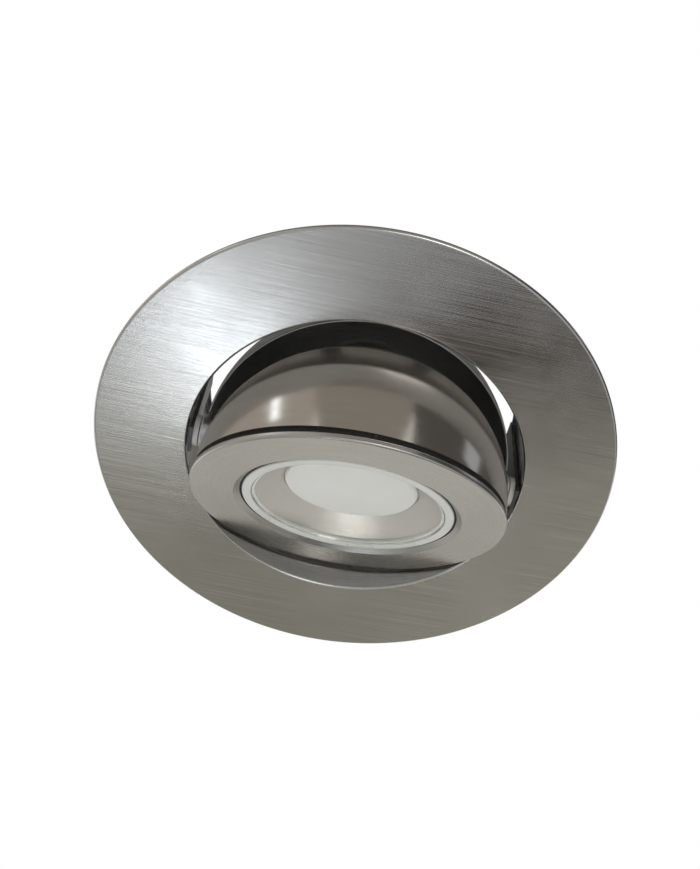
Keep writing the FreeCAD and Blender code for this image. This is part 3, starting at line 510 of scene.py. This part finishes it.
shadow = turned("shadow_ring",
                softened([(SPIGOT_RADIUS, BEZEL_BACK), (SHADOW_RADIUS, BEZEL_BACK), (SHADOW_RADIUS, DOME_BASE),
                          (SPIGOT_RADIUS, DOME_BASE)], [0, 0.1, 0.1, 0]), black_rubber, HEAD)
key = boxed("shadow_ring_key", 0.7, 0.75, 0.2,
            [(0.1, BEZEL_BACK), (0, BEZEL_BACK + 0.15), (0, DOME_BASE - 0.15), (0.1, DOME_BASE)], black_rubber,
            HEAD @ Matrix.Translation((1.3 * MM, -55.75 * MM, 0)))
for piece in (shadow, key):
    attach(piece, "head")
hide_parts("bezel_gasket")
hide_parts("bezel_gasket")


def skirt_grid(across=180, up=40):
    """A slice of a sphere between two planes that meet in the line joining its two tips.

    Each row lies at one share t of the way between the tips. It runs up the outside by the angle psi about that
    line, from the bezel's plane to the sloping plane, round the lip and down the inside, on a sphere smaller by
    the sheet. At each psi the section is a circle, and t turns round it from one tip to the other.
    """
    tip_y = SKIRT_TOP_Y + (SKIRT_TOP_Z - DOME_BASE) / math.tan(SKIRT_SLOPE)
    tip_z = DOME_BASE - SKIRT_CENTRE
    half = SKIRT_SHEET / 2
    lip = half / 50
    rise = np.linspace(0, SKIRT_SLOPE - lip, up)
    turn = np.linspace(0, math.pi, 9)[1:-1]
    psi = np.concatenate([rise, SKIRT_SLOPE - lip + lip * np.sin(turn), rise[::-1]])
    radius = np.concatenate([np.full(up, SKIRT_RADIUS), SKIRT_RADIUS - half + half * np.cos(turn),
                             np.full(up, SKIRT_RADIUS - SKIRT_SHEET)])
    along = tip_z * np.sin(psi) - tip_y * np.cos(psi)
    ring = np.sqrt(radius ** 2 - tip_y ** 2 - tip_z ** 2 + along ** 2)
    first = np.arcsin(along / ring)
    t = np.linspace(0.004, 0.996, across)[:, None]
    a = first + (math.pi - 2 * first) * t
    q = ring * np.sin(a) - along
    return np.stack([ring * np.cos(a), tip_y - q * np.cos(psi), DOME_BASE + q * np.sin(psi)], axis=2)


skirt = looped("dome_skirt", skirt_grid(), dome_metal, HEAD, closed=False)
skirt_ring = turned("dome_base_ring", softened([(53.7, DOME_BASE), (56.4, DOME_BASE), (56.4, DOME_BASE + 1),
                                                (53.7, DOME_BASE + 1)], [0.2] * 4), dome_metal, HEAD)
for piece in (skirt, skirt_ring):
    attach(piece, "head")
    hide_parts("dome_shell")

head_piece("lens_ring", [(35.2, behind(1.1)), (38.6, behind(1.1)), (38.6, behind(4.6)), (34.0, behind(4.6)),
                         (34.0, behind(3.4)), (35.2, behind(3.4))],
           [0.5, 0.6, 0.3, 0.2, 0.2, 0.1], lens_rim_plastic, "lens_rim")
lens_disc = head_piece("lens_disc",
                       [(0, behind(1.6)), (35.15, behind(1.6)), (35.15, behind(3.35)), (0, behind(3.35))],
                       [0, 0.25, 0.2, 0], glass, "front_lens")
lens_disc.visible_shadow = False
head_piece("lens_seal_ring", [(38.6, behind(1.6)), (39.4, behind(2.0)), (39.4, behind(4.6)), (38.6, behind(4.6))],
           [0.15, 0.15, 0.1, 0.1], black_rubber, "lens_seal")
head_piece("reflector_cone", [(33.8, behind(4.62)), (39.0, behind(4.62)), (39.0, behind(5.4)), (35.0, behind(5.4)),
                              (25.9, behind(11.4)), (24.7, behind(11.4))],
           [0.3, 0.2, 0.2, 0.3, 0.2, 0.2], reflector_metal, "reflector")
head_piece("diffuser_cup", [(0, behind(9.5)), (24.4, behind(9.8)), (24.4, behind(13.6)), (23.0, behind(13.6)),
                            (23.0, behind(11.2)), (0, behind(11.0))],
           [0, 1.2, 0.2, 0.2, 0.8, 0], opal, "diffuser")


# ---------------------------------------------------------------- the driver case
def case_levels(low, high, edge):
    """Insets and levels of a box with rounded bottom and top edges."""
    levels = [(edge, low)]
    for t in np.linspace(0, math.pi / 2, 6):
        levels.append((edge * (1 - math.sin(t)), low + edge * (1 - math.cos(t))))
    for t in np.linspace(0, math.pi / 2, 6):
        levels.append((edge * (1 - math.cos(t)), high - edge * (1 - math.sin(t))))
    levels.append((edge, high))
    return levels


case = boxed("driver_case_shell", CASE_HALF_LENGTH, CASE_HALF_WIDTH, CASE_CORNER, case_levels(BOWL_FLAT, 73.9, 0.8),
             case_plastic)
lid = boxed("driver_case_lid", CASE_HALF_LENGTH, CASE_HALF_WIDTH, CASE_CORNER, case_levels(74.05, 75.5, 0.7),
            case_plastic)
for piece, node in ((case, "driver_case"), (lid, "driver_lid")):
    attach(piece, "swivel")
    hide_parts(node)


# ---------------------------------------------------------------- carried-over pieces
DRESS = {
    # the pivot straps take the zinc darkened by painted shade
    strap_zinc_painted_shade: ["pivot_strap_left", "pivot_strap_right"],
    plate_metal: ["swivel_frame", "clip_bracket_left", "clip_bracket_right", "clip_arm_left",
                  "clip_arm_right", "pivot_bracket_left", "pivot_bracket_right", "retaining_clip_1",
                  "retaining_clip_2", "retaining_clip_3"],
    wire_metal: ["clip_spring_left", "clip_spring_right", "pivot_circlip_left", "pivot_circlip_right"],
    rivet_metal: ["clip_pin_left", "clip_pin_right", "pivot_pin_left", "pivot_pin_right", "clip_rivets",
                  "retainer_rivets", "strap_rivets", "board_screws", "lid_screws", "bracket_screws",
                  "head_pillars"],
    black_rubber: ["bowl_grommet", "clip_foot_left", "clip_foot_right"],
    nylon: ["glide_ring", "pivot_bush_left", "pivot_bush_right", "friction_washer_left",
            "friction_washer_right"],
    sink_metal: ["heat_sink"],
    led_mask: ["led_board"],
    phosphor: ["led_chips"],
    pad_rubber: ["thermal_pad"],
    board_mask: ["driver_board"],
    gland_plastic: ["cable_gland", "gland_nut"],
}
BEVELLED = {"swivel_frame": 0.3, "pivot_strap_left": 0.3, "pivot_strap_right": 0.3, "clip_bracket_left": 0.3,
            "clip_bracket_right": 0.3, "clip_arm_left": 0.3, "clip_arm_right": 0.3, "retaining_clip_1": 0.3,
            "retaining_clip_2": 0.3, "retaining_clip_3": 0.3, "clip_foot_left": 0.6, "clip_foot_right": 0.6,
            "clip_rivets": 0.3, "retainer_rivets": 0.3, "strap_rivets": 0.25, "lid_screws": 0.4,
            "clip_pin_left": 0.3, "clip_pin_right": 0.3, "cable_gland": 0.6, "gland_nut": 0.3}
for material, nodes in DRESS.items():
    for node in nodes:
        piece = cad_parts[node]
        piece.data.materials.clear()
        piece.data.materials.append(material)
        if node in BEVELLED:
            bevel = piece.modifiers.new("edge", "BEVEL")
            bevel.width = BEVELLED[node] * MM
            bevel.segments = 2
            bevel.limit_method = "ANGLE"
            bevel.angle_limit = math.radians(40)


# ---------------------------------------------------------------- stage, lights and camera
def stage_material(name, colour):
    """Plain matt paint for the floor."""
    m = Nodes(name)
    m.set("Base Color", (*colour, 1))
    m.set("Roughness", 0.9)
    return m.material


def sheet(name, centre, normal, width, height, material):
    """A flat rectangle that faces along its normal."""
    turn = Vector(normal).to_track_quat("Z", "Y").to_matrix()
    corners = []
    for a, b in ((-1, -1), (1, -1), (1, 1), (-1, 1)):
        corners.append(tuple(Vector(centre) + turn @ Vector((a * width / 2, b * height / 2, 0))))
    mesh = bpy.data.meshes.new(name)
    mesh.from_pydata(corners, [], [(0, 1, 2, 3)])
    mesh.materials.append(material)
    piece = bpy.data.objects.new(name, mesh)
    bpy.context.scene.collection.objects.link(piece)
    return piece


floor_paint = stage_material("pale floor paint", (0.90, 0.90, 0.89))
floor = sheet("floor", (0, 0, FLOOR_LEVEL), (0, 0, 1), 12, 12, floor_paint)


def soft_light(name, where, width, height, power):
    """A rectangular white studio light aimed at the origin."""
    lamp = bpy.data.lights.new(name, "AREA")
    lamp.shape = "RECTANGLE"
    lamp.size = width
    lamp.size_y = height
    lamp.energy = power
    piece = bpy.data.objects.new(name, lamp)
    piece.location = where
    piece.rotation_euler = (-Vector(where)).to_track_quat("-Z", "Y").to_euler()
    bpy.context.scene.collection.objects.link(piece)
    return piece


def panel(name, centre, width, height, colour, strength):
    """A plain glowing studio panel that faces the lamp and shows in the metal and glass alone."""
    m = Nodes(name + " glow")
    glow = m.add("ShaderNodeEmission", Color=(*colour, 1), Strength=strength)
    m.tree.links.new(glow.outputs["Emission"], m.tree.nodes["Material Output"].inputs["Surface"])
    piece = sheet(name, centre, -Vector(centre), width, height, m.material)
    piece.visible_camera = False
    piece.visible_shadow = False
    piece.visible_diffuse = False
    return piece


# colours of the panels; their places lie where the metal and the glass mirror towards the camera
WARM = (1.0, 0.94, 0.86)
BROWN = (1.0, 0.82, 0.66)
NEUTRAL = (1.0, 0.98, 0.92)
OLIVE = (1.0, 0.97, 0.82)
COOL = (0.86, 0.93, 1.0)

soft_light("near_fill", (0.30, -0.75, -1.10), 0.5, 0.5, 2.2)
soft_light("window_fill", (-0.05, 0.50, -1.00), 0.5, 0.5, 2.2).visible_glossy = False
soft_light("top_light", (0.5, 1.2, 1.6), 1.2, 1.2, 9.0)
panel("top_panel", (0, 0.1, 1.6), 5.0, 5.0, WARM, 0.16)
panel("near_panel", (-0.1, -1.8, 0.35), 2.0, 3.2, WARM, 0.32)
panel("left_panel", (-1.8, -0.5, 0.4), 3.4, 3.2, WARM, 0.50)
panel("left_window", (-1.0, 0.12, 0.95), 0.5, 0.5, WARM, 1.3)
panel("right_panel", (1.8, -0.6, 0.4), 3.6, 3.2, WARM, 0.07)
panel("right_window", (1.30, -0.40, 0.60), 0.35, 0.6, COOL, 0.6)
panel("left_strip", (-1.2, -0.75, 0.42), 0.12, 0.42, COOL, 3.5)
panel("far_panel", (0.2, 1.8, 0.2), 3.1, 2.4, NEUTRAL, 0.62)
panel("floor_key", (-0.22, 0.71, -1.20), 0.16, 0.15, COOL, 5.8)
panel("floor_left", (-0.34, 0.95, -1.23), 0.20, 0.20, NEUTRAL, 0.55)
panel("floor_low_right", (0.52, 1.08, -1.23), 0.24, 0.32, NEUTRAL, 3.3)
panel("floor_dark", (0.31, 0.60, -1.21), 0.50, 0.40, BROWN, 0.06)
panel("floor_far", (0.0, 1.36, -1.24), 0.76, 0.46, OLIVE, 0.06)
panel("floor_panel", (0.1, 0.9, -1.27), 2.4, 2.4, OLIVE, 0.28)

world = bpy.data.worlds.new("studio")
bpy.context.scene.world = world
world.use_nodes = True
tree = world.node_tree
tree.nodes.clear()
rays = tree.nodes.new("ShaderNodeLightPath")
seen = tree.nodes.new("ShaderNodeMath")
seen.operation = "MAXIMUM"
seen_too = tree.nodes.new("ShaderNodeMath")
seen_too.operation = "MAXIMUM"
tree.links.new(rays.outputs["Is Camera Ray"], seen.inputs[0])
tree.links.new(rays.outputs["Is Glossy Ray"], seen.inputs[1])
tree.links.new(seen.outputs[0], seen_too.inputs[0])
tree.links.new(rays.outputs["Is Transmission Ray"], seen_too.inputs[1])
ambient = tree.nodes.new("ShaderNodeBackground")
ambient.inputs["Color"].default_value = (0.95, 0.97, 1.0, 1)
ambient.inputs["Strength"].default_value = 0.45
white = tree.nodes.new("ShaderNodeBackground")
white.inputs["Color"].default_value = (1, 1, 1, 1)
white.inputs["Strength"].default_value = 1.0
choose = tree.nodes.new("ShaderNodeMixShader")
tree.links.new(seen_too.outputs[0], choose.inputs["Fac"])
tree.links.new(ambient.outputs[0], choose.inputs[1])
tree.links.new(white.outputs[0], choose.inputs[2])
output = tree.nodes.new("ShaderNodeOutputWorld")
tree.links.new(choose.outputs[0], output.inputs["Surface"])


def aim_camera(azimuth, elevation, roll, distance, focal, across, down, shift):
    """The camera that sees the origin at (across, down) pixels from its axis.

    shift moves that axis in the picture, in pixels right and down of the middle.
    """
    a, e, r = (math.radians(v) for v in (azimuth, elevation, roll))
    ahead = Vector((math.sin(a) * math.cos(e), math.cos(a) * math.cos(e), math.sin(e)))
    right = Vector((math.cos(a), -math.sin(a), 0))
    up = right.cross(ahead)
    turned_right = right * math.cos(r) + up * math.sin(r)
    turned_up = up * math.cos(r) - right * math.sin(r)
    offset = Vector((across / focal * distance, -down / focal * distance, distance))
    place = -(turned_right * offset.x + turned_up * offset.y + ahead * offset.z)
    lens = bpy.data.cameras.new("camera")
    lens.sensor_width = SENSOR
    lens.sensor_fit = "AUTO"
    lens.lens = focal * SENSOR / PICTURE_LONG_SIDE
    lens.shift_x = -shift[0] / PICTURE_LONG_SIDE
    lens.shift_y = shift[1] / PICTURE_LONG_SIDE
    lens.clip_start = 0.01
    camera = bpy.data.objects.new("camera", lens)
    axes = Matrix((turned_right, turned_up, -ahead)).transposed()
    camera.matrix_world = Matrix.Translation(place) @ axes.to_4x4()
    bpy.context.scene.collection.objects.link(camera)
    bpy.context.scene.camera = camera


aim_camera(10.275, 52.896, 3.03, 0.38205, 1039.92, -54.62, 17.42, (60, 12))

view = bpy.context.scene.view_settings
view.view_transform = "Standard"
